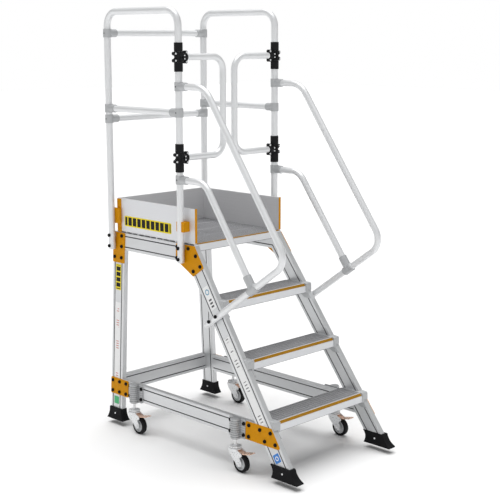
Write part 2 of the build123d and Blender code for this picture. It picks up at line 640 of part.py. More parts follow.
def gusset_nodes():
    nodes = {"upper_gussets": [], "lower_gussets": []}
    for name, (outline, places) in gussets().items():
        plate = side_prism(outline, 0, PLATE_T, corner=6)
        for y, z in places:
            plate -= x_rod(BOLT_SHANK_D, -1, PLATE_T + 1, y, z)
        for y, h in post_bolt_places():
            plate -= x_rod(BOLT_SHANK_D, -1, PLATE_T + 1, y, h)
        level = name.split("_")[0]
        nodes[f"{level}_gussets"] += both_sides(side_frame, plate)
    bolts = [bolt(y, z, PLATE_T) for _, places in gussets().values() for y, z in places]
    for castor_y in CASTOR_Y:
        bolts += [bolt(y, z, FLANGE_T) for y, z in flange_bolt_places(POST_REAR_Y + castor_y)]
    for y, h in post_bolt_places():
        bolts.append(bolt(y, h, post_bolt_x(h), reach=post_bolt_x(h) + BOLT_GRIP))
    for y, h in handrail_bolt_places():
        bolts.append(bolt(y, h, handrail_bolt_x(h), reach=handrail_bolt_x(h) + BOLT_GRIP))
    nodes["frame_bolts"] = [placed for shape in bolts for placed in both_sides(side_frame, shape)]
    return nodes


# ---------------------------------------------------------------- rubber feet
def foot_flare(half_top, half_low, height, width):
    """Prism along y whose end view widens down to the ground in a hollow curve."""
    mid = (half_top + 0.25 * (half_low - half_top), height * 0.45)
    right_side = Spline((half_low, 0), mid, (half_top, height))
    left_side = Spline((-half_top, height), (-mid[0], mid[1]), (-half_low, 0))
    outline = make_face([right_side, Line((half_top, height), (-half_top, height)),
                         left_side, Line((-half_low, 0), (half_low, 0))])
    plane = Plane(origin=(0, -width / 2, 0), x_dir=(1, 0, 0), z_dir=(0, -1, 0))
    return extrude(plane * outline, -width)


def rear_foot():
    """Flared rubber boot round the bottom of a rear leg."""
    height, flare = 56.0, 15.0
    half = BAR_W / 2 + 2
    half_low = half + flare
    mid = (half + 0.2 * flare, height * 0.45)
    profile = make_face([
        Spline((half_low, 0), mid, (half, height)), Line((half, height), (-half, height)),
        Spline((-half, height), (-mid[0], mid[1]), (-half_low, 0)), Line((-half_low, 0), (half_low, 0))])
    plane = Plane(origin=(-60, LEG_Y, 0), x_dir=(0, 1, 0), z_dir=(1, 0, 0))
    x_middle = outer_face_x(0) - BAR_T / 2
    boot = Pos(x_middle, 0, 0) * extrude(plane * profile, 120)
    boot &= Pos(x_middle, LEG_Y, 0) * foot_flare(BAR_T / 2 + 5, BAR_T / 2 + 10, height, 160)
    return upright(boot, 1) - side_frame(side_prism([
        (LEG_FRONT_Y, 8), (LEG_BACK_Y, 8), (LEG_BACK_Y, 120), (LEG_FRONT_Y, 120)], -BAR_T, 0), 1)


def front_foot():
    """Rubber shoe on a stile: upright heel, top strap and a toe that runs out to the front."""
    height = 55.0
    heel_top = (stile_y(height) + STILE_HALF_Y + 2, height)
    instep = (stile_y(height) - STILE_HALF_Y - 10, height)
    toe_y = -BOX_LENGTH / 2
    heel_low = (heel_top[0] - 8, 0)
    heel_waist = (heel_top[0] - 14, height * 0.55)
    arch = ((instep[0] + toe_y) / 2 + 4, height * 0.42)
    outline = make_face([
        Spline(heel_low, heel_waist, heel_top), Line(heel_top, instep), Spline(instep, arch, (toe_y, 5)),
        Line((toe_y, 5), (toe_y, 0)), Line((toe_y, 0), heel_low)])
    plane = Plane(origin=(-60, 0, 0), x_dir=(0, 1, 0), z_dir=(1, 0, 0))
    x_middle = outer_face_x(0) - BAR_T / 2
    shoe = Pos(x_middle, 0, 0) * extrude(plane * outline, 120)
    shoe &= Pos(x_middle, 0, 0) * foot_flare(BAR_T / 2 + 5, BAR_T / 2 + 9, height, 2 * BOX_LENGTH)
    keep_out = side_prism([
        (stile_y(10) - STILE_HALF_Y, 10), (stile_y(10) + STILE_HALF_Y, 10),
        (stile_y(120) + STILE_HALF_Y, 120), (stile_y(120) - STILE_HALF_Y, 120)], -BAR_T, 0)
    return upright(shoe, 1) - side_frame(keep_out, 1)


def feet_nodes():
    return {"rubber_feet": mirrored_pair(rear_foot()) + mirrored_pair(front_foot())}


def mirrored_pair(shape):
    return [shape, mirror(shape, Plane.YZ)]


# ---------------------------------------------------------------- castors
FLANGE_T, FLANGE_HALF = 5.0, 48.0
FLANGE_BOLT_Y = 39.5
HOUSING_R, RIB_R, RIB_T, RIB_PITCH = 18.0, 21.5, 4.0, 9.8
H_HOUSING_LOW, H_HOUSING_TOP = 115.0, 206.0
SPRING_BORE_R, STEM_R = 13.5, 6.0
GUIDE_CLEARANCE = 0.05
H_SPRING_SEAT, H_SPRING_TOP = 126.0, H_HOUSING_TOP - 4.0
SPRING_R, SPRING_WIRE, SPRING_TURNS = 10.0, 2.4, 7
STEM_X = outer_face_x(H_BASE_RAIL) + STEM_OUT
WHEEL_Z = WHEEL_D / 2
AXLE_R = 4.0
CHEEK_T, CHEEK_IN = 3.0, WHEEL_W / 2 + 3.0
SWIVEL_GAP = 0.2
PEDAL_PIVOT = (-20.0, WHEEL_Z + 47.0)       # y from the stem, height above the floor
PEDAL_PIN_D, PEDAL_BOSS_D = 5.0, 9.0


def flange_bolt_places(y):
    return [(y + dy, H_BASE_RAIL + dz) for dy in (-FLANGE_BOLT_Y, FLANGE_BOLT_Y)
            for dz in (-SLOT_OFFSET, SLOT_OFFSET)]


def castor_housing(y):
    """Ribbed half-round casting with a bolting flange; the sprung stem slides in its bore."""
    barrel = z_rod(2 * HOUSING_R, H_HOUSING_LOW, H_HOUSING_TOP, STEM_X, y)
    ribs = int((H_HOUSING_TOP - H_HOUSING_LOW) // RIB_PITCH)
    for i in range(ribs):
        z = H_HOUSING_LOW + 4 + i * RIB_PITCH
        barrel += z_rod(2 * RIB_R, z, z + RIB_T, STEM_X, y)
    barrel += block(STEM_X - STEM_OUT - 8, STEM_X, y - HOUSING_R, y + HOUSING_R, H_HOUSING_LOW, H_HOUSING_TOP)
    barrel = upright(barrel, 1)
    flange = side_prism([
        (y - FLANGE_HALF, H_HOUSING_LOW + 2), (y + FLANGE_HALF, H_HOUSING_LOW + 2),
        (y + FLANGE_HALF, H_HOUSING_TOP - 2), (y - FLANGE_HALF, H_HOUSING_TOP - 2)], 0, FLANGE_T, corner=5)
    for by, bz in flange_bolt_places(y):
        flange -= x_rod(BOLT_SHANK_D, -1, FLANGE_T + 1, by, bz)
    behind = side_frame(block(-60, 0, y - 80, y + 80, 0, 300), 1)
    guide = upright(z_rod(2 * (STEM_R + GUIDE_CLEARANCE), 0, H_HOUSING_TOP - 40, STEM_X, y), 1)
    bore = upright(z_rod(2 * SPRING_BORE_R, H_HOUSING_LOW + 4, H_HOUSING_TOP - 4, STEM_X, y), 1)
    return barrel + side_frame(flange, 1) - behind - guide - bore


def castor_spring():
    """Compression spring between the stem's collar and the top of the housing bore."""
    height = H_SPRING_TOP - H_SPRING_SEAT - SPRING_WIRE
    coil = Helix(pitch=height / SPRING_TURNS, height=height, radius=SPRING_R)
    start = Plane(origin=coil @ 0, z_dir=coil % 0)
    return Pos(0, 0, H_SPRING_SEAT + SPRING_WIRE / 2) * sweep(start * Circle(SPRING_WIRE / 2), path=coil)


def castor_stem():
    """Stem with the spring's collar, and the pressed plate over the swivel balls."""
    top = H_SPRING_TOP - FOOT_LIFT - 5
    shape = z_rod(2 * STEM_R, H_CASTOR_HEAD, top)
    shape += z_rod(25.4, H_SPRING_SEAT - 3.4, H_SPRING_SEAT)
    plate = z_rod(54, H_CASTOR_HEAD, H_CASTOR_HEAD + 3)
    plate = fillet(plate.edges().filter_by(GeomType.CIRCLE).sort_by(Axis.Z)[-1], 2)
    race = z_rod(40, H_CASTOR_HEAD - 4, H_CASTOR_HEAD)
    nut = Pos(0, 0, H_CASTOR_HEAD + 3) * extrude(RegularPolygon(9, 6), 6)
    return shape + plate + race + nut


def castor_fork():
    """Swivel fork: crown dish round the ball race, two cheeks that sweep back to the axle."""
    z_top = H_CASTOR_HEAD - 4 - SWIVEL_GAP + FOOT_LIFT
    crown = Cylinder(27, 5, align=(Align.CENTER, Align.CENTER, Align.MAX))
    crown = fillet(crown.edges().filter_by(GeomType.CIRCLE).sort_by(Axis.Z)[-1], 2.5)
    crown = Pos(0, 0, z_top) * crown
    outer = CHEEK_IN + CHEEK_T
    bridge = block(-outer, outer, -22, 20, z_top - 7, z_top - 3)
    cheek_outline = [
        (24, z_top - 3), (-24, z_top - 3), (-53, z_top - 16), (-53, z_top - 26),
        (-TRAIL - 2, WHEEL_Z + 26), (-TRAIL - 14, WHEEL_Z + 8), (-TRAIL - 12, WHEEL_Z - 10),
        (-TRAIL + 2, WHEEL_Z - 15), (-TRAIL + 14, WHEEL_Z - 6), (-4, WHEEL_Z + 12),
        (14, z_top - 30), (24, z_top - 12)]
    fork = crown + bridge
    for x0 in (CHEEK_IN, -CHEEK_IN - CHEEK_T):
        fork += side_prism(cheek_outline, x0, x0 + CHEEK_T, corner=4)
    axle = x_rod(2 * AXLE_R, -outer - 4, outer + 4, -TRAIL, WHEEL_Z)
    for x0 in (-outer - 5, outer):
        nut = Pos(x0, -TRAIL, WHEEL_Z) * Rot(0, 90, 0) * extrude(RegularPolygon(7.5, 6), 5)
        axle += nut
    rivet = x_rod(PEDAL_PIN_D, -outer - 1.5, outer + 1.5, *PEDAL_PIVOT)
    return fork + axle + rivet


def wheel_core():
    """Nylon wheel centre with a rim, web ribs and a hub bored for the axle."""
    radius = WHEEL_D / 2 - TYRE_T
    core = x_rod(2 * radius, -WHEEL_W / 2 + 2, WHEEL_W / 2 - 2, -TRAIL, WHEEL_Z)
    for x0, x1 in ((-WHEEL_W / 2, -4), (4, WHEEL_W / 2)):
        recess = x_rod(2 * radius - 8, x0, x1, -TRAIL, WHEEL_Z) - x_rod(20, x0, x1, -TRAIL, WHEEL_Z)
        core -= recess
    hub = x_rod(20, -CHEEK_IN + 0.5, CHEEK_IN - 0.5, -TRAIL, WHEEL_Z)
    bore = x_rod(2 * (AXLE_R + GUIDE_CLEARANCE), -40, 40, -TRAIL, WHEEL_Z)
    return core + hub - bore


def tyre():
    radius = WHEEL_D / 2
    ring = x_rod(2 * radius, -WHEEL_W / 2, WHEEL_W / 2, -TRAIL, WHEEL_Z)
    ring = fillet(ring.edges().filter_by(GeomType.CIRCLE), 5)
    return ring - x_rod(2 * (radius - TYRE_T), -40, 40, -TRAIL, WHEEL_Z)


def brake_pedal():
    """Pressed pedal on the fork's rivet: an arm between the cheeks and a tread plate behind them."""
    y, z = PEDAL_PIVOT
    boss = x_rod(PEDAL_BOSS_D, -CHEEK_IN + 0.4, CHEEK_IN - 0.4, y, z)
    thickness, bend_y, tip_y, tip_rise = 3.0, -56.0, -100.0, 9.0
    low = z - 2
    arm = side_prism([
        (y, low), (y, low + thickness), (bend_y, low + thickness), (bend_y - 8, low + thickness + 1),
        (bend_y - 8, low + 1), (bend_y, low)], -13, 13)
    tread_plate = side_prism([
        (bend_y, low), (bend_y, low + thickness), (tip_y, low + thickness + tip_rise),
        (tip_y - 1, low + tip_rise)], -17, 17)
    tread_plate = fillet(tread_plate.edges().filter_by(Axis.Z).sort_by(Axis.Y)[:2], 2)
    return boss + arm + tread_plate - x_rod(PEDAL_PIN_D + 2 * GUIDE_CLEARANCE, -40, 40, y, z)


def castor_nodes():
    nodes = {"castor_housings": []}
    for row, castor_y in zip(("rear", "front"), CASTOR_Y):
        y = POST_REAR_Y + castor_y
        housing = castor_housing(y)
        nodes["castor_housings"] += mirrored_pair(housing)
        for side_name, side in SIDES.items():
            place = Pos(side * STEM_X, y, 0)
            name = f"castor_{row}_{side_name}"
            nodes[f"{name}_stem"] = place * Pos(0, 0, FOOT_LIFT) * castor_stem()
            nodes[f"{name}_spring"] = place * Pos(0, 0, FOOT_LIFT) * castor_spring()
            nodes[f"{name}_fork"] = place * castor_fork()
            nodes[f"{name}_wheel"] = place * wheel_core()
            nodes[f"{name}_tyre"] = place * tyre()
            nodes[f"{name}_pedal"] = place * brake_pedal()
    return nodes


# ---------------------------------------------------------------- swing gates
GATE_CLEARANCE = 0.05
SOCKET_CUP_D, SOCKET_CUP_X = 36.0, 30.0


def gate_collar(h):
    """Fixed black collar clamped to the post above or below a turning clamp."""
    ring = z_rod(SLEEVE_D, h - COLLAR_H / 2, h + COLLAR_H / 2)
    ring = fillet(ring.edges().filter_by(GeomType.CIRCLE), 1.5)
    return Pos(POST_X, POST_FRONT_Y, 0) * (ring - z_rod(POST_D, h - COLLAR_H, h + COLLAR_H))


def gate_clamp(h):
    """Turning clamp on a post, with bolt lugs either side and a cup for the gate's arm."""
    body = z_rod(SLEEVE_D - 1.5, h - CLAMP_H / 2, h + CLAMP_H / 2)
    for dy in (-1, 1):
        for dz in (-11, 11):
            lug = Pos(0, 0, h + dz) * Rot(90 * dy, 0, 0) * Cylinder(
                8.5, 24, align=(Align.CENTER, Align.CENTER, Align.MIN))
            body += fillet(lug.edges().filter_by(GeomType.CIRCLE).sort_by(Axis.Y)[0 if dy > 0 else -1], 2)
    cup = x_rod(SOCKET_CUP_D, -SOCKET_CUP_X - 14, -SOCKET_CUP_X + 16, 0, h)
    cup = fillet(cup.edges().filter_by(GeomType.CIRCLE).sort_by(Axis.X)[0], 6)
    cup -= x_rod(RAIL_D, -SOCKET_CUP_X - 20, -SOCKET_CUP_X + 6, 0, h)
    bore = z_rod(POST_D + 2 * GATE_CLEARANCE, h - CLAMP_H, h + CLAMP_H)
    return Pos(POST_X, POST_FRONT_Y, 0) * (body + cup - bore)


def gate_leaf():
    root_x = POST_X - SOCKET_CUP_X + 5
    path = [
        (root_x, POST_FRONT_Y, H_GATE_TOP), (GATE_TO_MIDDLE, POST_FRONT_Y, H_GATE_TOP),
        (GATE_TO_MIDDLE, POST_FRONT_Y, H_GATE_LOW), (root_x, POST_FRONT_Y, H_GATE_LOW)]
    return tube(path, RAIL_D, [GATE_BEND, GATE_BEND])


def gate_nodes():
    step = (COLLAR_H + CLAMP_H) / 2 + 0.3
    collars = [gate_collar(h + dh) for h in (H_GATE_TOP, H_GATE_LOW) for dh in (-step, step)]
    nodes = {"gate_collars": [placed for shape in collars for placed in both_sides(upright, shape)]}
    for name, side in SIDES.items():
        nodes[f"gate_{name}_leaf"] = upright(gate_leaf(), side)
        nodes[f"gate_{name}_clamps"] = [upright(gate_clamp(h), side) for h in (H_GATE_TOP, H_GATE_LOW)]
    return nodes


# ---------------------------------------------------------------- write every node
def main():
    os.makedirs("parts", exist_ok=True)
    sections = (frame_nodes, walking_nodes, guard_nodes, toe_board_nodes, gusset_nodes,
                feet_nodes, castor_nodes, gate_nodes)
    for section in sections:
        for name, shape in section().items():
            export_step(named(shape), f"parts/{name}.step")


main()
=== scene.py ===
"""Rolling warehouse ladder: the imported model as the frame, with finishes, small parts, light and camera.

Lengths are in metres in the row frame. Heights called h are measured up from the underside of the
rubber feet, which the castors hold FOOT_LIFT above the floor.
"""

import math

import bmesh
import bpy
from mathutils import Euler, Matrix, Vector


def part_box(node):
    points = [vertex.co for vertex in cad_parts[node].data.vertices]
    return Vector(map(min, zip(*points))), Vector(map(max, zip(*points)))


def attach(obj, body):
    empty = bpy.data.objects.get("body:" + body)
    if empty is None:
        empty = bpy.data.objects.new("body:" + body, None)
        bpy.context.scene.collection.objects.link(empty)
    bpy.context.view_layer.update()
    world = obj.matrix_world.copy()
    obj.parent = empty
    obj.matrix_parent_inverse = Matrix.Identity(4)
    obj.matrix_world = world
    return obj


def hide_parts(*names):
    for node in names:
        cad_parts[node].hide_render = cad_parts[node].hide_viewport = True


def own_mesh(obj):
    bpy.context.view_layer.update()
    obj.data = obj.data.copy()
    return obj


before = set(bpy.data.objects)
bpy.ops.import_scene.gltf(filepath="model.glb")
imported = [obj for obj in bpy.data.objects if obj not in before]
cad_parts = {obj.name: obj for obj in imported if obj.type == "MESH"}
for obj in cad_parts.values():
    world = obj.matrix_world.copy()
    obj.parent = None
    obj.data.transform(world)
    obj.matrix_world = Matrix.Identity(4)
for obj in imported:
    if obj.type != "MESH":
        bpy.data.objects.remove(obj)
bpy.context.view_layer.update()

# ---------------------------------------------------------------- dimensions shared with the CAD
FOOT_LIFT = 0.024
PLATFORM_H = 0.900
RISE = 0.225
OUTER_HALF_WIDTH, SPLAY_PER_H = 0.2676, 0.0468
SPLAY = math.atan(SPLAY_PER_H)
BAR_W, BAR_T = 0.080, 0.025
SLOT_OFFSET = 0.0245
POST_X, POST_D = 0.2907, 0.030
POST_REAR_Y, POST_FRONT_Y = 0.57875, 0.10175
LEG_BACK_Y = POST_REAR_Y + 0.0155
LEG_Y = LEG_BACK_Y - BAR_W / 2
STAIR_RUN_PER_H = 0.7149
STAIR_ANGLE = math.atan(STAIR_RUN_PER_H)
STILE_FOOT_Y = POST_REAR_Y - 1.1292
H_UPPER_RAIL, H_BASE_RAIL = 0.850, 0.160
H_POST_FOOT = 0.812
TOE_X, TOE_REAR_Y = 0.2652, POST_REAR_Y - 0.0170
GATE_HEIGHTS = (1.6886, 1.2652)
SLEEVE_R = 0.0185
H_FIRST_RIB, RIB_T, RIB_PITCH = 0.119, 0.004, 0.0098
TREAD_H, DECK_T = 0.043, 0.036
SIDES = {"left": -1, "right": 1}
CASTORS = [f"castor_{row}_{side}" for row in ("rear", "front") for side in SIDES]


def outer_face_x(h):
    """Distance of a side frame's outer face from the middle plane; the frames splay towards the floor."""
    return OUTER_HALF_WIDTH + SPLAY_PER_H * (PLATFORM_H - h)


def stile_y(h):
    """Centre line of the stair stiles."""
    return STILE_FOOT_Y + STAIR_RUN_PER_H * h


# ---------------------------------------------------------------- node helpers
def new_material(name, color, metallic, roughness, **sockets):
    """Principled material; sockets are more inputs by name, with _ for a space."""
    made = bpy.data.materials.new(name)
    made.use_nodes = True
    shader = made.node_tree.nodes["Principled BSDF"]
    shader.inputs["Base Color"].default_value = (*color, 1.0)
    shader.inputs["Metallic"].default_value = metallic
    shader.inputs["Roughness"].default_value = roughness
    for socket, value in sockets.items():
        shader.inputs[socket.replace("_", " ")].default_value = value
    return made, made.node_tree, shader


def local_coordinates(tree, size=(1.0, 1.0, 1.0), turn=(0.0, 0.0, 0.0), origin=(0.0, 0.0, 0.0)):
    """Object coordinates seen in a turned frame, counted in features of the given size."""
    coordinates = tree.nodes.new("ShaderNodeTexCoord")
    mapping = tree.nodes.new("ShaderNodeMapping")
    mapping.vector_type = "TEXTURE"
    mapping.inputs["Location"].default_value = origin
    mapping.inputs["Rotation"].default_value = turn
    mapping.inputs["Scale"].default_value = size
    tree.links.new(coordinates.outputs["Object"], mapping.inputs["Vector"])
    return mapping.outputs["Vector"]


def noise(tree, vector, detail=3.0, roughness=0.55):
    node = tree.nodes.new("ShaderNodeTexNoise")
    node.inputs["Scale"].default_value = 1.0
    node.inputs["Detail"].default_value = detail
    node.inputs["Roughness"].default_value = roughness
    tree.links.new(vector, node.inputs["Vector"])
    return node.outputs["Fac"]


def math_node(tree, operation, first, second=None, clamp=False):
    node = tree.nodes.new("ShaderNodeMath")
    node.operation = operation
    node.use_clamp = clamp
    for socket, value in zip(node.inputs, (first, second)):
        if value is None:
            continue
        if isinstance(value, (int, float)):
            socket.default_value = value
        else:
            tree.links.new(value, socket)
    return node.outputs[0]


def axes(tree, vector):
    node = tree.nodes.new("ShaderNodeSeparateXYZ")
    tree.links.new(vector, node.inputs[0])
    return node.outputs


def mix_color(tree, factor, first, second):
    """Blend of two colours; each is a colour triple or a node output."""
    node = tree.nodes.new("ShaderNodeMix")
    node.data_type = "RGBA"
    tree.links.new(factor, node.inputs["Factor"])
    for socket, value in ((node.inputs[6], first), (node.inputs[7], second)):
        if isinstance(value, tuple):
            socket.default_value = (*value, 1.0)
        else:
            tree.links.new(value, socket)
    return node.outputs[2]


def spread(tree, factor, low, high):
    node = tree.nodes.new("ShaderNodeMapRange")
    node.inputs["From Min"].default_value = 0.3
    node.inputs["From Max"].default_value = 0.7
    node.inputs["To Min"].default_value = low
    node.inputs["To Max"].default_value = high
    tree.links.new(factor, node.inputs["Value"])
    return node.outputs["Result"]


def bump(tree, shader, height, distance, strength=1.0):
    node = tree.nodes.new("ShaderNodeBump")
    node.inputs["Strength"].default_value = strength
    node.inputs["Distance"].default_value = distance
    tree.links.new(height, node.inputs["Height"])
    tree.links.new(node.outputs["Normal"], shader.inputs["Normal"])


def shade(color, factor):
    return tuple(channel * factor for channel in color)


def mottle(tree, shader, color, vector, low=0.92, high=1.05, rough=None, depth=None):
    """Vary colour, roughness and relief with one noise."""
    grain = noise(tree, vector)
    tree.links.new(mix_color(tree, grain, shade(color, low), shade(color, high)), shader.inputs["Base Color"])
    if rough:
        tree.links.new(spread(tree, grain, *rough), shader.inputs["Roughness"])
    if depth:
        bump(tree, shader, grain, depth)
    return grain


# ---------------------------------------------------------------- metals
EXTRUSION_COLOR = (0.68, 0.69, 0.70)
# Colour of the painted shade inside the tee slots.
SLOT_SHADE_COLOR = (0.10, 0.10, 0.11)
TUBE_COLOR = (0.80, 0.81, 0.82)
# The second colour is for the toe boards' faces towards the platform, a little darker.
SHEET_COLOR, INNER_FACE_COLOR = (0.76, 0.77, 0.79), (0.74, 0.74, 0.75)
# The second colour of each pair is painted shade for the bottoms of the grip grooves.
TREAD_TOP_COLOR, TREAD_GROOVE_SHADE = (0.34, 0.34, 0.35), (0.05, 0.05, 0.06)
DECK_TOP_COLOR, DECK_GROOVE_SHADE = (0.27, 0.27, 0.28), (0.16, 0.16, 0.17)
TREAD_GRAIN, DECK_GRAIN = 0.0016, 0.0024
SLOT_HALF_W, SLOT_SINK = 0.0053, 0.0004
FACING_UP = 0.93
# The last of these sets the height of a band of painted shade along each plank's lower edge.
GROOVE_SINK, EDGE_DROP, SHADED_LIP_H = 0.0008, 0.0020, 0.0025
BOARD_SKIN = 0.0006


def bar_material(name, turn, origin):
    """Anodised extrusion: die lines along its length, and painted shade darkening the insides of its tee
    slots.
    """
    made, tree, shader = new_material(name, EXTRUSION_COLOR, 0.55, 0.38)
    streaks = noise(tree, local_coordinates(tree, (0.0016, 0.0016, 0.6), turn, origin), detail=4.0)
    clouds = noise(tree, local_coordinates(tree, (0.05, 0.05, 0.12), turn, origin))
    base = mix_color(tree, streaks, shade(EXTRUSION_COLOR, 0.93), shade(EXTRUSION_COLOR, 1.04))
    depth, across, _ = axes(tree, local_coordinates(tree, turn=turn, origin=origin))
    # The insides of the tee slots get painted shade.
    off_slot = math_node(tree, "ABSOLUTE", math_node(
        tree, "SUBTRACT", math_node(tree, "ABSOLUTE", across), SLOT_OFFSET))
    near_slot = math_node(tree, "LESS_THAN", off_slot, SLOT_HALF_W)
    sunk = math_node(tree, "LESS_THAN", math_node(tree, "ABSOLUTE", depth), BAR_T / 2 - SLOT_SINK)
    slot_shade_mask = math_node(tree, "MULTIPLY", near_slot, sunk)
    tree.links.new(mix_color(tree, slot_shade_mask, base, SLOT_SHADE_COLOR), shader.inputs["Base Color"])
    tree.links.new(spread(tree, clouds, 0.33, 0.42), shader.inputs["Roughness"])
    bump(tree, shader, streaks, 0.00002)
    return made


def metal(name, color, metallic, roughness, grain, depth=None, low=0.94, high=1.04):
    """Cast, plated or drawn metal with a mottle whose features are grain across."""
    made, tree, shader = new_material(name, color, metallic, roughness)
    mottle(tree, shader, color, local_coordinates(tree, (grain,) * 3), low, high,
           rough=(roughness - 0.05, roughness + 0.05), depth=depth)
    return made


def tubing():
    """Satin anodised tube with the faintest clouding."""
    made, tree, shader = new_material("tubing_metal", TUBE_COLOR, 0.40, 0.42)
    clouds = noise(tree, local_coordinates(tree, (0.15,) * 3), detail=2.0)
    tree.links.new(mix_color(tree, clouds, shade(TUBE_COLOR, 0.97), shade(TUBE_COLOR, 1.02)),
                   shader.inputs["Base Color"])
    tree.links.new(spread(tree, clouds, 0.40, 0.45), shader.inputs["Roughness"])
    return made


def plank_material(name, top, depth, top_color, groove_shade_color, rib_size):
    """Aluminium plank with its walking face at height top: worn grip, painted shade in its grooves, and a
    band of painted shade along its lower lip.
    """
    made, tree, shader = new_material(name, SHEET_COLOR, 0.35, 0.42)
    geometry = tree.nodes.new("ShaderNodeNewGeometry")
    _, _, up = axes(tree, geometry.outputs["Normal"])
    _, _, height = axes(tree, local_coordinates(tree))
    on_top = math_node(tree, "GREATER_THAN", up, FACING_UP)
    # Groove bottoms, below the walking face, get painted shade.
    groove_shade_mask = math_node(tree, "LESS_THAN", height, top - GROOVE_SINK)
    below_edge = math_node(tree, "LESS_THAN", height, top - EDGE_DROP)
    # The lowest strip of each plank gets painted shade.
    lip_shade_mask = math_node(tree, "LESS_THAN", height, top - depth + SHADED_LIP_H)
    ribs = noise(tree, local_coordinates(tree, (0.4, rib_size, rib_size)), detail=5.0)
    wear = noise(tree, local_coordinates(tree, (0.09, 0.05, 0.05)), detail=4.0)
    grip = mix_color(tree, wear, shade(top_color, 0.9), shade(top_color, 1.1))
    plain = mix_color(tree, ribs, shade(SHEET_COLOR, 0.95), shade(SHEET_COLOR, 1.03))
    lip_shaded = mix_color(tree, lip_shade_mask, plain, shade(SHEET_COLOR, 0.25))
    grip_with_groove_shade = mix_color(tree, groove_shade_mask, grip, groove_shade_color)
    shaded = math_node(tree, "MULTIPLY", on_top, math_node(tree, "SUBTRACT", 1.0, below_edge))
    tree.links.new(mix_color(tree, shaded, lip_shaded, grip_with_groove_shade), shader.inputs["Base Color"])
    tree.links.new(spread(tree, wear, 0.40, 0.52), shader.inputs["Roughness"])
    bump(tree, shader, ribs, 0.00003)
    return made


def board_material():
    """Toe boards: bright outside, and a slightly darker brushed face towards the platform."""
    made, tree, shader = new_material("toe_board_metal", SHEET_COLOR, 0.45, 0.45)
    x, y, _ = axes(tree, local_coordinates(tree))
    out_x = math_node(tree, "GREATER_THAN", math_node(tree, "ABSOLUTE", x), TOE_X - BOARD_SKIN)
    out_y = math_node(tree, "GREATER_THAN", y, TOE_REAR_Y - BOARD_SKIN)
    out = math_node(tree, "MAXIMUM", out_x, out_y)
    brushed = noise(tree, local_coordinates(tree, (0.25, 0.25, 0.0014)), detail=4.0)
    bright = mix_color(tree, brushed, shade(SHEET_COLOR, 0.96), shade(SHEET_COLOR, 1.03))
    # The face towards the platform is given a slightly darker colour.
    inner_face = mix_color(tree, brushed, shade(INNER_FACE_COLOR, 0.92), shade(INNER_FACE_COLOR, 1.08))
    tree.links.new(mix_color(tree, out, inner_face, bright), shader.inputs["Base Color"])
    tree.links.new(spread(tree, brushed, 0.40, 0.50), shader.inputs["Roughness"])
    bump(tree, shader, brushed, 0.00002)
    return made


def ribbed_casting():
    """Castor housing: grained casting with painted shade in the valleys between its ribs."""
    color = (0.56, 0.57, 0.58)
    made, tree, shader = new_material("housing_metal", color, 0.35, 0.50)
    grain = noise(tree, local_coordinates(tree, (0.0014,) * 3))
    _, _, height = axes(tree, local_coordinates(tree, origin=(0, 0, H_FIRST_RIB + FOOT_LIFT - RIB_PITCH)))
    along = math_node(tree, "FRACT", math_node(tree, "DIVIDE", height, RIB_PITCH))
    # Valleys between the ribs get painted shade.
    valley = math_node(tree, "GREATER_THAN", along, RIB_T / RIB_PITCH)
    rib = mix_color(tree, grain, shade(color, 0.92), shade(color, 1.06))
    hollow_shade = mix_color(tree, grain, shade(color, 0.70), shade(color, 0.78))
    tree.links.new(mix_color(tree, valley, rib, hollow_shade), shader.inputs["Base Color"])
    bump(tree, shader, grain, 0.00010)
    return made


# ---------------------------------------------------------------- paint, rubber and plastic
def powder_coat(name, color):
    """Orange-peel powder coat, a little worn to a paler shade in patches."""
    made, tree, shader = new_material(name, color, 0.0, 0.5, Specular_IOR_Level=0.08)
    peel = noise(tree, local_coordinates(tree, (0.0011,) * 3), detail=1.0)
    wear = noise(tree, local_coordinates(tree, (0.03,) * 3), detail=4.0)
    tree.links.new(mix_color(tree, wear, shade(color, 0.90), shade(color, 1.08)), shader.inputs["Base Color"])
    tree.links.new(spread(tree, wear, 0.38, 0.50), shader.inputs["Roughness"])
    bump(tree, shader, peel, 0.00008)
    return made


def moulded(name, color, roughness, grain_size=0.0012, depth=0.00006):
    """Moulded plastic or rubber, finely grained and dusted paler in patches."""
    made, tree, shader = new_material(name, color, 0.0, roughness, Specular_IOR_Level=0.12)
    dust = noise(tree, local_coordinates(tree, (0.02,) * 3), detail=5.0)
    grain = noise(tree, local_coordinates(tree, (grain_size,) * 3), detail=2.0)
    tree.links.new(mix_color(tree, dust, shade(color, 0.8), shade(color, 1.5)), shader.inputs["Base Color"])
    tree.links.new(spread(tree, dust, roughness - 0.06, roughness + 0.08), shader.inputs["Roughness"])
    bump(tree, shader, grain, depth)
    return made


def paint(material, *names):
    """Give every slot of the named CAD nodes one material."""
    for name in names:
        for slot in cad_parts[name].material_slots:
            slot.material = material


BAR_PLACES = {
    "rear_leg": (Euler((0, 0, 0)), LEG_Y, PLATFORM_H),
    "stile": (Euler((-STAIR_ANGLE, 0, 0)), stile_y(PLATFORM_H), PLATFORM_H),
    "upper_rail": (Euler((math.pi / 2, 0, 0)), LEG_Y, H_UPPER_RAIL),
    "base_rail": (Euler((math.pi / 2, 0, 0)), LEG_Y, H_BASE_RAIL),
}


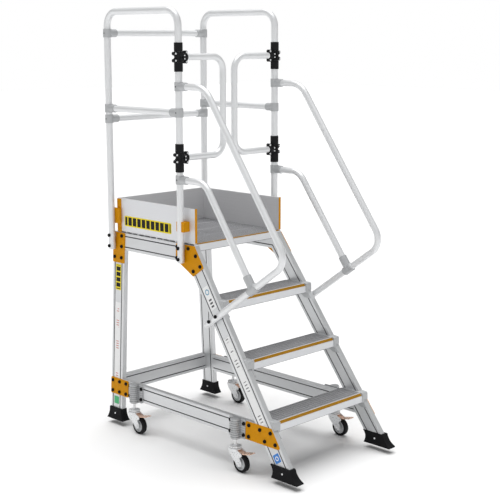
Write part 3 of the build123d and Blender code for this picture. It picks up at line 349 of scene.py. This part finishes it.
def paint_bars():
    """Give each extrusion a finish that runs along its own length."""
    for part, (roll, y, h) in BAR_PLACES.items():
        for name, side in SIDES.items():
            turn = (Euler((0, -side * SPLAY, 0)).to_matrix() @ roll.to_matrix()).to_euler()
            middle = outer_face_x(h) - BAR_T / 2 * math.cos(SPLAY)
            origin = (side * middle, y, h + FOOT_LIFT - BAR_T / 2 * math.sin(SPLAY))
            paint(bar_material(f"{part}_{name}_metal", turn, origin), f"{part}_{name}")
    across_x = Matrix(((0, 0, 1), (1, 0, 0), (0, 1, 0))).to_euler()
    for name, h in (("base_rail_rear", H_BASE_RAIL), ("deck_rear_beam", H_UPPER_RAIL)):
        origin = (0, LEG_BACK_Y - BAR_T / 2, h + FOOT_LIFT)
        paint(bar_material(f"{name}_metal", across_x, origin), name)


TUBING = tubing()
CASTING = metal("casting_metal", (0.49, 0.50, 0.51), metallic=0.35, roughness=0.52, grain=0.0012,
                depth=0.00010, low=0.90, high=1.08)
HOUSING = ribbed_casting()
ZINC = metal("bright_zinc", (0.86, 0.87, 0.88), metallic=0.35, roughness=0.30, grain=0.006,
             depth=0.00002, low=0.92, high=1.03)
SPRING_STEEL = metal("spring_steel", (0.36, 0.36, 0.37), metallic=0.9, roughness=0.35, grain=0.004)
PEDAL = metal("pedal_metal", (0.86, 0.58, 0.44), metallic=0.55, roughness=0.28, grain=0.008,
              depth=0.00002, low=0.80, high=1.12)
BLACK_OXIDE = moulded("black_oxide", (0.006, 0.006, 0.007), 0.5)
ORANGE = powder_coat("orange_powder_coat", (0.64, 0.270, 0.002))
STRIP = moulded("grip_strip_orange", (0.29, 0.145, 0.010), 0.6)
RUBBER = moulded("foot_rubber", (0.006, 0.006, 0.007), 0.62, grain_size=0.0020, depth=0.00012)
TYRE = moulded("tyre_rubber", (0.010, 0.010, 0.011), 0.55)
BLACK_NYLON = moulded("black_nylon", (0.010, 0.010, 0.011), 0.5)
GREY_NYLON = moulded("wheel_nylon", (0.55, 0.56, 0.57), 0.35)


def paint_nodes():
    """Give the CAD nodes their finishes; the castor spring nodes, hidden later, get none."""
    paint_bars()
    paint(TUBING, "guardrail_left", "guardrail_right", "handrail_left", "handrail_right", "rear_rails",
          "side_knee_rails", "stair_knee_rails", "gate_left_leaf", "gate_right_leaf")
    paint(CASTING, "tube_clamps", "tread_brackets")
    for step, name in enumerate(("lower", "middle", "upper"), 1):
        top = step * RISE + FOOT_LIFT
        tread = plank_material(f"tread_{name}_metal", top, TREAD_H, TREAD_TOP_COLOR, TREAD_GROOVE_SHADE,
                               TREAD_GRAIN)
        paint(tread, f"tread_{name}")
    deck = plank_material("deck_metal", PLATFORM_H + FOOT_LIFT, DECK_T, DECK_TOP_COLOR,
                          DECK_GROOVE_SHADE, DECK_GRAIN)
    paint(deck, "deck_planks")
    paint(board_material(), "toe_boards")
    paint(ORANGE, "upper_gussets", "lower_gussets", "toe_board_brackets")
    paint(STRIP, "grip_strips")
    paint(BLACK_OXIDE, "frame_bolts")
    paint(RUBBER, "rubber_feet")
    paint(HOUSING, "castor_housings")
    paint(BLACK_NYLON, "gate_collars", "gate_left_clamps", "gate_right_clamps")
    for name in CASTORS:
        paint(ZINC, f"{name}_stem", f"{name}_fork")
        paint(GREY_NYLON, f"{name}_wheel")
        paint(TYRE, f"{name}_tyre")
        paint(PEDAL, f"{name}_pedal")


# ---------------------------------------------------------------- small parts
SHARP_EDGE = math.radians(40)


def mesh_piece(name, build, place, material, body="ladder"):
    """New piece from a bmesh builder, put in place, finished and attached to a body."""
    mesh = bpy.data.meshes.new(name)
    form = bmesh.new()
    build(form)
    bmesh.ops.recalc_face_normals(form, faces=form.faces)
    form.to_mesh(mesh)
    form.free()
    piece = bpy.data.objects.new(name, mesh)
    bpy.context.scene.collection.objects.link(piece)
    piece.matrix_world = place
    mesh.materials.append(material)
    mesh.set_sharp_from_angle(angle=SHARP_EDGE)
    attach(piece, body)
    return piece


def turned(profile, segments=28):
    """Builder of a solid of revolution about local z from (radius, height) pairs."""
    def build(form):
        rings = []
        for radius, height in profile:
            if radius == 0:
                rings.append([form.verts.new((0, 0, height))])
                continue
            angles = [math.tau * i / segments for i in range(segments)]
            rings.append([form.verts.new((radius * math.cos(angle), radius * math.sin(angle), height))
                          for angle in angles])
        for low, high in zip(rings, rings[1:]):
            for i in range(segments):
                j = (i + 1) % segments
                corners = [low[i % len(low)], low[j % len(low)], high[j % len(high)], high[i % len(high)]]
                form.faces.new(list(dict.fromkeys(corners)))
        for face in form.faces:
            face.smooth = True
    return build


def plate(width, height, thickness, corner, bevel=0.0, steps=6):
    """Builder of a flat plate with rounded corners lying on local z = 0."""
    def build(form):
        outline = []
        for quarter, (sx, sy) in enumerate(((1, 1), (-1, 1), (-1, -1), (1, -1))):
            for k in range(steps + 1):
                angle = (quarter + k / steps) * math.pi / 2
                outline.append((sx * (width / 2 - corner) + corner * math.cos(angle),
                                sy * (height / 2 - corner) + corner * math.sin(angle)))
        face = form.faces.new([form.verts.new((x, y, 0.0)) for x, y in outline])
        side = bmesh.ops.extrude_face_region(form, geom=[face])
        raised = [v for v in side["geom"] if isinstance(v, bmesh.types.BMVert)]
        bmesh.ops.translate(form, vec=(0, 0, thickness), verts=raised)
        if bevel:
            rim = [e for e in form.edges if all(abs(v.co.z - thickness) < 1e-7 for v in e.verts)]
            bmesh.ops.bevel(form, geom=rim, offset=bevel, segments=3, affect="EDGES", profile=0.5)
    return build


def ring(inner, outer, thickness):
    """Builder of a flat washer."""
    return turned([(inner, 0), (outer, 0), (outer, thickness), (inner, thickness), (inner, 0)], 40)


def coil(radius, wire_radius, turns, height, turn_steps=28, wire_steps=10):
    """Builder of a wire coil round local z, from 0 up to its full height."""
    def build(form):
        rise = height - 2 * wire_radius
        loops = []
        for step in range(turns * turn_steps + 1):
            turn = math.tau * step / turn_steps
            mid_height = wire_radius + rise * step / (turns * turn_steps)
            loop = []
            for k in range(wire_steps):
                wire = math.tau * k / wire_steps
                reach = radius + wire_radius * math.cos(wire)
                level = mid_height + wire_radius * math.sin(wire)
                loop.append(form.verts.new((reach * math.cos(turn), reach * math.sin(turn), level)))
            loops.append(loop)
        for low, high in zip(loops, loops[1:]):
            for k in range(wire_steps):
                side = form.faces.new([low[k], low[k - 1], high[k - 1], high[k]])
                side.smooth = True
        form.faces.new(loops[0])
        form.faces.new(loops[-1])
    return build


def dome(radius, height):
    """Builder of a low domed head with a small seat below it."""
    return turned([(0, -0.0006), (radius, -0.0006), (radius, 0.15 * height), (0.93 * radius, 0.5 * height),
                   (0.72 * radius, 0.82 * height), (0.36 * radius, 0.97 * height), (0, height)])


def socket_head(radius, height):
    """Builder of a cylinder head screw with a round recess."""
    return turned([(0, -0.0008), (radius, -0.0008), (radius, 0.8 * height), (0.9 * radius, height),
                   (0.55 * radius, height), (0.52 * radius, 0.4 * height), (0, 0.4 * height)])


def drum(radius, height):
    """Builder of a short cylinder with eased rims, standing on local z = 0."""
    ease = 0.12 * radius
    return turned([(0, 0), (radius - ease, 0), (radius, ease), (radius, height - ease),
                   (radius - ease, height), (0, height)])


def facing(point, normal, up=(0, 0, 1)):
    """Place with local z along normal and local y towards up."""
    z = Vector(normal).normalized()
    x = Vector(up).cross(z).normalized()
    y = z.cross(x)
    return Matrix.Translation(point) @ Matrix((x, y, z)).transposed().to_4x4()


def on_side_frame(side, y, h, out=0.0, turn=0.0):
    """Place on the outer face of a side frame, local z out of it and local y up along it."""
    normal = Vector((side * math.cos(SPLAY), 0, math.sin(SPLAY)))
    up = Vector((-side * math.sin(SPLAY), 0, math.cos(SPLAY)))
    point = Vector((side * outer_face_x(h), y, h + FOOT_LIFT)) + out * normal
    return facing(point, normal, up) @ Matrix.Rotation(turn, 4, "Z")


# ---------------------------------------------------------------- castor springs
SPRING_R, SPRING_WIRE_R, SPRING_TURNS = 0.0100, 0.0012, 7


def castor_springs():
    """Coil springs in place of the CAD springs, each as tall as the spring it replaces."""
    for name in CASTORS:
        low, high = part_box(f"{name}_spring")
        height = high[2] - low[2]
        x, y = (low[0] + high[0]) / 2, (low[1] + high[1]) / 2
        spring = mesh_piece(f"{name}_coil", coil(SPRING_R, SPRING_WIRE_R, SPRING_TURNS, height),
                            Matrix.Translation((x, y, low[2])), SPRING_STEEL)
        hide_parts(f"{name}_spring")
        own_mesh(spring)


# ---------------------------------------------------------------- labels
LABEL_T, INK_T = 0.0003, 0.0002
LABEL_GAP, INK_GAP = 0.0001, 0.0004
LABEL_W, SMALL_LABEL_W = 0.038, 0.034
TOE_LABEL_L, TOE_LABEL_W = 0.325, 0.048
TOE_LABEL_Y, TOE_LABEL_UP = POST_REAR_Y - 0.2255, 0.0465
H_LEG_YELLOW, H_LEG_WHITE, H_LEG_GREEN = (0.619, 0.740), (0.207, 0.561), (0.075, 0.111)
H_STILE_MARK, H_STILE_WHITE, H_STILE_BLUE = (0.637, 0.723), (0.203, 0.526), (0.068, 0.099)
H_MARK_RING, H_MARK_BARS, H_BLUE_RING = 0.702, (0.672, 0.660, 0.648), 0.0835
YELLOW, LABEL_BLACK = (0.86, 0.70, 0.03), (0.015, 0.015, 0.015)
LABEL_WHITE, LABEL_GREEN, LABEL_BLUE = (0.86, 0.86, 0.86), (0.02, 0.42, 0.14), (0.02, 0.20, 0.62)
RED_INK, GREY_INK = (0.55, 0.12, 0.10), (0.16, 0.16, 0.17)
RING_INK, BAR_INK = (0.05, 0.28, 0.45), (0.05, 0.05, 0.06)
MARK_RING, BLUE_RING = (0.0085, 0.0125), (0.006, 0.0095)
MARK_BAR = (0.018, 0.008)


def sticker(name, color):
    """Plain film of one colour."""
    made, tree, shader = new_material(name, color, 0.0, 0.3, Coat_Weight=0.2)
    mottle(tree, shader, color, local_coordinates(tree, (0.01,) * 3), 0.95, 1.03, rough=(0.28, 0.36))
    return made


def blocked_label(name, length, width):
    """Yellow film with a row of plain black blocks that leaves a yellow rim."""
    made, tree, shader = new_material(name, YELLOW, 0.0, 0.4, Specular_IOR_Level=0.1)
    x, y, _ = axes(tree, local_coordinates(tree))
    pitch, rim = width * 0.66, width * 0.11
    row = math_node(tree, "FRACT", math_node(tree, "DIVIDE", math_node(tree, "ADD", y, length), pitch))
    block = math_node(tree, "LESS_THAN", row, 0.76)
    in_x = math_node(tree, "LESS_THAN", math_node(tree, "ABSOLUTE", x), width / 2 - rim)
    in_y = math_node(tree, "LESS_THAN", math_node(tree, "ABSOLUTE", y), length / 2 - rim)
    ink = math_node(tree, "MULTIPLY", block, math_node(tree, "MULTIPLY", in_x, in_y))
    fade = noise(tree, local_coordinates(tree, (0.012,) * 3), detail=4.0)
    yellow = mix_color(tree, fade, shade(YELLOW, 0.93), shade(YELLOW, 1.02))
    tree.links.new(mix_color(tree, ink, yellow, LABEL_BLACK), shader.inputs["Base Color"])
    tree.links.new(spread(tree, fade, 0.26, 0.36), shader.inputs["Roughness"])
    return made


def ticked_label(name, ink_color, pitch, share):
    """White film with short plain bars across its middle."""
    made, tree, shader = new_material(name, LABEL_WHITE, 0.0, 0.3, Coat_Weight=0.2)
    x, y, _ = axes(tree, local_coordinates(tree))
    row = math_node(tree, "FRACT", math_node(tree, "DIVIDE", math_node(tree, "ADD", y, 1.0), pitch))
    bar = math_node(tree, "LESS_THAN", row, share)
    middle = math_node(tree, "LESS_THAN", math_node(tree, "ABSOLUTE", x), 0.009)
    patches = noise(tree, local_coordinates(tree, (0.2, 0.05, 0.2)), detail=0.0)
    shown = math_node(tree, "GREATER_THAN", patches, 0.53)
    ink = math_node(tree, "MULTIPLY", math_node(tree, "MULTIPLY", bar, middle), shown)
    fade = noise(tree, local_coordinates(tree, (0.012,) * 3), detail=4.0)
    white = mix_color(tree, fade, shade(LABEL_WHITE, 0.96), shade(LABEL_WHITE, 1.02))
    tree.links.new(mix_color(tree, ink, white, ink_color), shader.inputs["Base Color"])
    tree.links.new(spread(tree, fade, 0.26, 0.36), shader.inputs["Roughness"])
    return made


def side_label(name, heights, width, material, on_stile=False):
    """Label on the outer face of the left leg or stile, between two heights."""
    low, high = heights
    left, middle = SIDES["left"], (low + high) / 2
    y = stile_y(middle) if on_stile else LEG_Y
    turn = -left * STAIR_ANGLE if on_stile else 0.0
    length = (high - low) * (math.hypot(1, STAIR_RUN_PER_H) if on_stile else 1.0)
    place = on_side_frame(left, y, middle, LABEL_GAP, turn)
    return mesh_piece(name, plate(width, length, LABEL_T, 0.003), place, material)


def stile_ink(name, build, h, material):
    """Printed shape on a label of the left stile, at height h."""
    left = SIDES["left"]
    return mesh_piece(name, build, on_side_frame(left, stile_y(h), h, INK_GAP, -left * STAIR_ANGLE), material)


def toe_board_labels():
    for name, side in SIDES.items():
        point = (side * (TOE_X + LABEL_GAP), TOE_LABEL_Y, PLATFORM_H + TOE_LABEL_UP + FOOT_LIFT)
        mesh_piece(f"label_toe_board_{name}", plate(TOE_LABEL_W, TOE_LABEL_L, LABEL_T, 0.008),
                   facing(point, (side, 0, 0), (0, side, 0)),
                   blocked_label(f"label_toe_{name}_film", TOE_LABEL_L, TOE_LABEL_W))


def labels():
    toe_board_labels()
    low, high = H_LEG_YELLOW
    side_label("label_leg_yellow", H_LEG_YELLOW, LABEL_W,
               blocked_label("label_leg_film", high - low, LABEL_W))
    side_label("label_leg_white", H_LEG_WHITE, LABEL_W,
               ticked_label("label_leg_white_film", RED_INK, pitch=0.011, share=0.35))
    side_label("label_leg_green", H_LEG_GREEN, SMALL_LABEL_W, sticker("label_green_film", LABEL_GREEN))
    side_label("label_stile_mark", H_STILE_MARK, LABEL_W, sticker("label_white_film", LABEL_WHITE),
               on_stile=True)
    side_label("label_stile_white", H_STILE_WHITE, LABEL_W,
               ticked_label("label_stile_white_film", GREY_INK, pitch=0.014, share=0.3), on_stile=True)
    side_label("label_stile_blue", H_STILE_BLUE, SMALL_LABEL_W,
               sticker("label_blue_film", LABEL_BLUE), on_stile=True)
    stile_ink("label_stile_ring", ring(*MARK_RING, INK_T), H_MARK_RING,
              sticker("label_ring_ink", RING_INK))
    bar_ink = sticker("label_bar_ink", BAR_INK)
    for i, h in enumerate(H_MARK_BARS):
        stile_ink(f"label_stile_bar_{i}", plate(*MARK_BAR, INK_T, 0.001), h, bar_ink)
    stile_ink("label_blue_ring", ring(*BLUE_RING, INK_T), H_BLUE_RING,
              sticker("label_blue_ink", LABEL_WHITE))


# ---------------------------------------------------------------- fittings
H_FOOT_RIVET, FOOT_HALF_T = 0.030, 0.0196
RIVET_R, RIVET_H = 0.0042, 0.0028
EAR_R, EAR_HALF = 0.0075, 0.009
GATE_BOLT_R, GATE_BOLT_H = 0.0040, 0.0026
SET_SCREW_R, SET_SCREW_H, SET_SCREW_SPREAD = 0.0030, 0.0022, 0.0068
LEAF_CUP_R = 0.0185
# Ears of a gate clamp: which end, how far past the post towards the opening, and how far off its middle.
GATE_EARS = (("outer", -0.0225, 0.0145), ("inner", 0.0375, 0.0195))
# Cast sleeves: y of the post, height, and the way the screw faces on the right side.
SLEEVE_SCREWS = (
    (POST_REAR_Y, 1.7890, (1, 0, 0)), (POST_REAR_Y, 1.4088, (1, 0, 0)),
    (POST_REAR_Y, 1.4566, (0, 1, 0)), (POST_FRONT_Y, 1.4566, (1, 0, 0)),
    (POST_FRONT_Y, 1.5660, (1, 0, 0)), (POST_FRONT_Y, 1.1720, (1, 0, 0)))


def fittings():
    """Rivets, screws, plugs and caps too small for the collision model."""
    for name, side in SIDES.items():
        for row, y in (("rear", LEG_Y), ("front", stile_y(H_FOOT_RIVET))):
            x = outer_face_x(H_FOOT_RIVET) - BAR_T / 2
            for facing_side, label in ((1, "out"), (-1, "in")):
                point = (side * (x + facing_side * FOOT_HALF_T), y, H_FOOT_RIVET + FOOT_LIFT)
                mesh_piece(f"foot_rivet_{row}_{name}_{label}", dome(RIVET_R, RIVET_H),
                           facing(point, (side * facing_side, 0, 0)), ZINC)
        for row, y in (("rear", POST_REAR_Y), ("front", POST_FRONT_Y)):
            point = (side * POST_X, y, H_POST_FOOT + FOOT_LIFT + 0.0005)
            mesh_piece(f"post_plug_{row}_{name}", dome(POST_D / 2 - 0.0008, 0.003),
                       facing(point, (0, 0, -1), (0, 1, 0)), GREY_NYLON)
        place = on_side_frame(side, LEG_BACK_Y, H_UPPER_RAIL, -BAR_T / 2)
        mesh_piece(f"upper_rail_cap_{name}", plate(BAR_T - 0.001, BAR_W - 0.001, 0.003, 0.0025, 0.001),
                   facing(place.translation, (0, 1, 0)), BLACK_NYLON)
        gate_screws(name, side)


def gate_screws(name, side):
    """Bolted ears either side of each gate clamp, and two set screws in the cup of the leaf."""
    body = f"gate_{name}"
    for i, h in enumerate(GATE_HEIGHTS):
        z = h + FOOT_LIFT
        for where, inward, rise in GATE_EARS:
            for up in (-1, 1):
                x = side * (POST_X - inward)
                level = z + up * rise
                label = f"{name}_{i}_{where}_{'low' if up < 0 else 'top'}"
                mesh_piece(f"gate_ear_{label}", drum(EAR_R, 2 * EAR_HALF),
                           facing((x, POST_FRONT_Y + EAR_HALF, level), (0, -1, 0)), BLACK_NYLON, body)
                mesh_piece(f"gate_bolt_{label}", socket_head(GATE_BOLT_R, GATE_BOLT_H),
                           facing((x, POST_FRONT_Y - EAR_HALF, level), (0, -1, 0)), ZINC, body)
        for up in (-1, 1):
            point = (side * (POST_X - LEAF_CUP_R), POST_FRONT_Y - LEAF_CUP_R, z + up * SET_SCREW_SPREAD)
            mesh_piece(f"gate_set_screw_{name}_{i}_{up + 1}", socket_head(SET_SCREW_R, SET_SCREW_H),
                       facing(point, (0, -1, 0)), ZINC, body)


def clamp_screws():
    """A recessed grub screw in each cast sleeve, on the side away from its socket."""
    for name, side in SIDES.items():
        for i, (y, h, (nx, ny, nz)) in enumerate(SLEEVE_SCREWS):
            normal = Vector((side * nx, ny, nz))
            point = Vector((side * POST_X, y, h + FOOT_LIFT)) + normal * (SLEEVE_R - 0.0006)
            mesh_piece(f"sleeve_screw_{name}_{i}", socket_head(0.0032, 0.0012),
                       facing(point, normal), BLACK_OXIDE)


# ---------------------------------------------------------------- studio
WORLD_LEVEL, FRONT_BACK_CONTRAST = 0.38, 0.22
OVERHEAD_ENERGY, OVERHEAD_ANGLE = 2.75, math.radians(62)
OVERHEAD_DIRECTION = (-0.06, -0.16, -1.0)
FLOOR_HALF_SIZE = 30.0


def stage_floor():
    mesh = bpy.data.meshes.new("studio_floor")
    form = bmesh.new()
    bmesh.ops.create_grid(form, x_segments=1, y_segments=1, size=FLOOR_HALF_SIZE)
    form.to_mesh(mesh)
    form.free()
    floor = bpy.data.objects.new("studio_floor", mesh)
    bpy.context.scene.collection.objects.link(floor)
    made, _, _ = new_material("floor_white", (0.92, 0.92, 0.92), 0.0, 0.9, Specular_IOR_Level=0.0)
    mesh.materials.append(made)


def studio():
    """White surroundings, brighter in front than behind, under one broad overhead light."""
    stage_floor()
    world = bpy.data.worlds.new("studio_white")
    bpy.context.scene.world = world
    world.use_nodes = True
    tree = world.node_tree
    background = tree.nodes["Background"]
    background.inputs["Color"].default_value = (1.0, 1.0, 1.0, 1.0)
    coordinates = tree.nodes.new("ShaderNodeTexCoord")
    x, y, _ = axes(tree, coordinates.outputs["Generated"])
    forward = math_node(tree, "MULTIPLY", math_node(tree, "ADD", x, y), -0.7071)
    level = math_node(tree, "ADD", math_node(tree, "MULTIPLY", forward, FRONT_BACK_CONTRAST), WORLD_LEVEL)
    path = tree.nodes.new("ShaderNodeLightPath")
    seen = path.outputs["Is Camera Ray"]
    lit = math_node(tree, "MULTIPLY", level, math_node(tree, "SUBTRACT", 1.0, seen))
    tree.links.new(math_node(tree, "ADD", lit, seen), background.inputs["Strength"])
    overhead = bpy.data.lights.new("overhead", "SUN")
    overhead.energy, overhead.angle = OVERHEAD_ENERGY, OVERHEAD_ANGLE
    lamp = bpy.data.objects.new("overhead", overhead)
    bpy.context.scene.collection.objects.link(lamp)
    lamp.rotation_euler = Vector(OVERHEAD_DIRECTION).to_track_quat("-Z", "Y").to_euler()
    bpy.context.scene.view_settings.view_transform = "Standard"


# ---------------------------------------------------------------- camera
CAMERA_POSITION = (-3.46430, -3.50229, 1.78805)
CAMERA_AZIMUTH, CAMERA_ELEVATION, CAMERA_ROLL = (math.radians(a) for a in (-44.932, 10.596, -0.062))
CAMERA_LENS, SENSOR_W = 81.34, 36.0


def camera():
    data = bpy.data.cameras.new("camera")
    data.lens, data.sensor_width = CAMERA_LENS, SENSOR_W
    data.clip_end = 60.0
    view = bpy.data.objects.new("camera", data)
    bpy.context.scene.collection.objects.link(view)
    azimuth, elevation = CAMERA_AZIMUTH, CAMERA_ELEVATION
    back = Vector((math.sin(azimuth) * math.cos(elevation), -math.cos(azimuth) * math.cos(elevation),
                   math.sin(elevation)))
    right = Vector((math.cos(azimuth), math.sin(azimuth), 0))
    up = back.cross(right)
    axes_matrix = Matrix((right, up, back)).transposed().to_4x4()
    view.matrix_world = (Matrix.Translation(CAMERA_POSITION) @ axes_matrix
                         @ Matrix.Rotation(CAMERA_ROLL, 4, "Z"))
    bpy.context.scene.camera = view


paint_nodes()
castor_springs()
labels()
fittings()
clamp_screws()
studio()
camera()
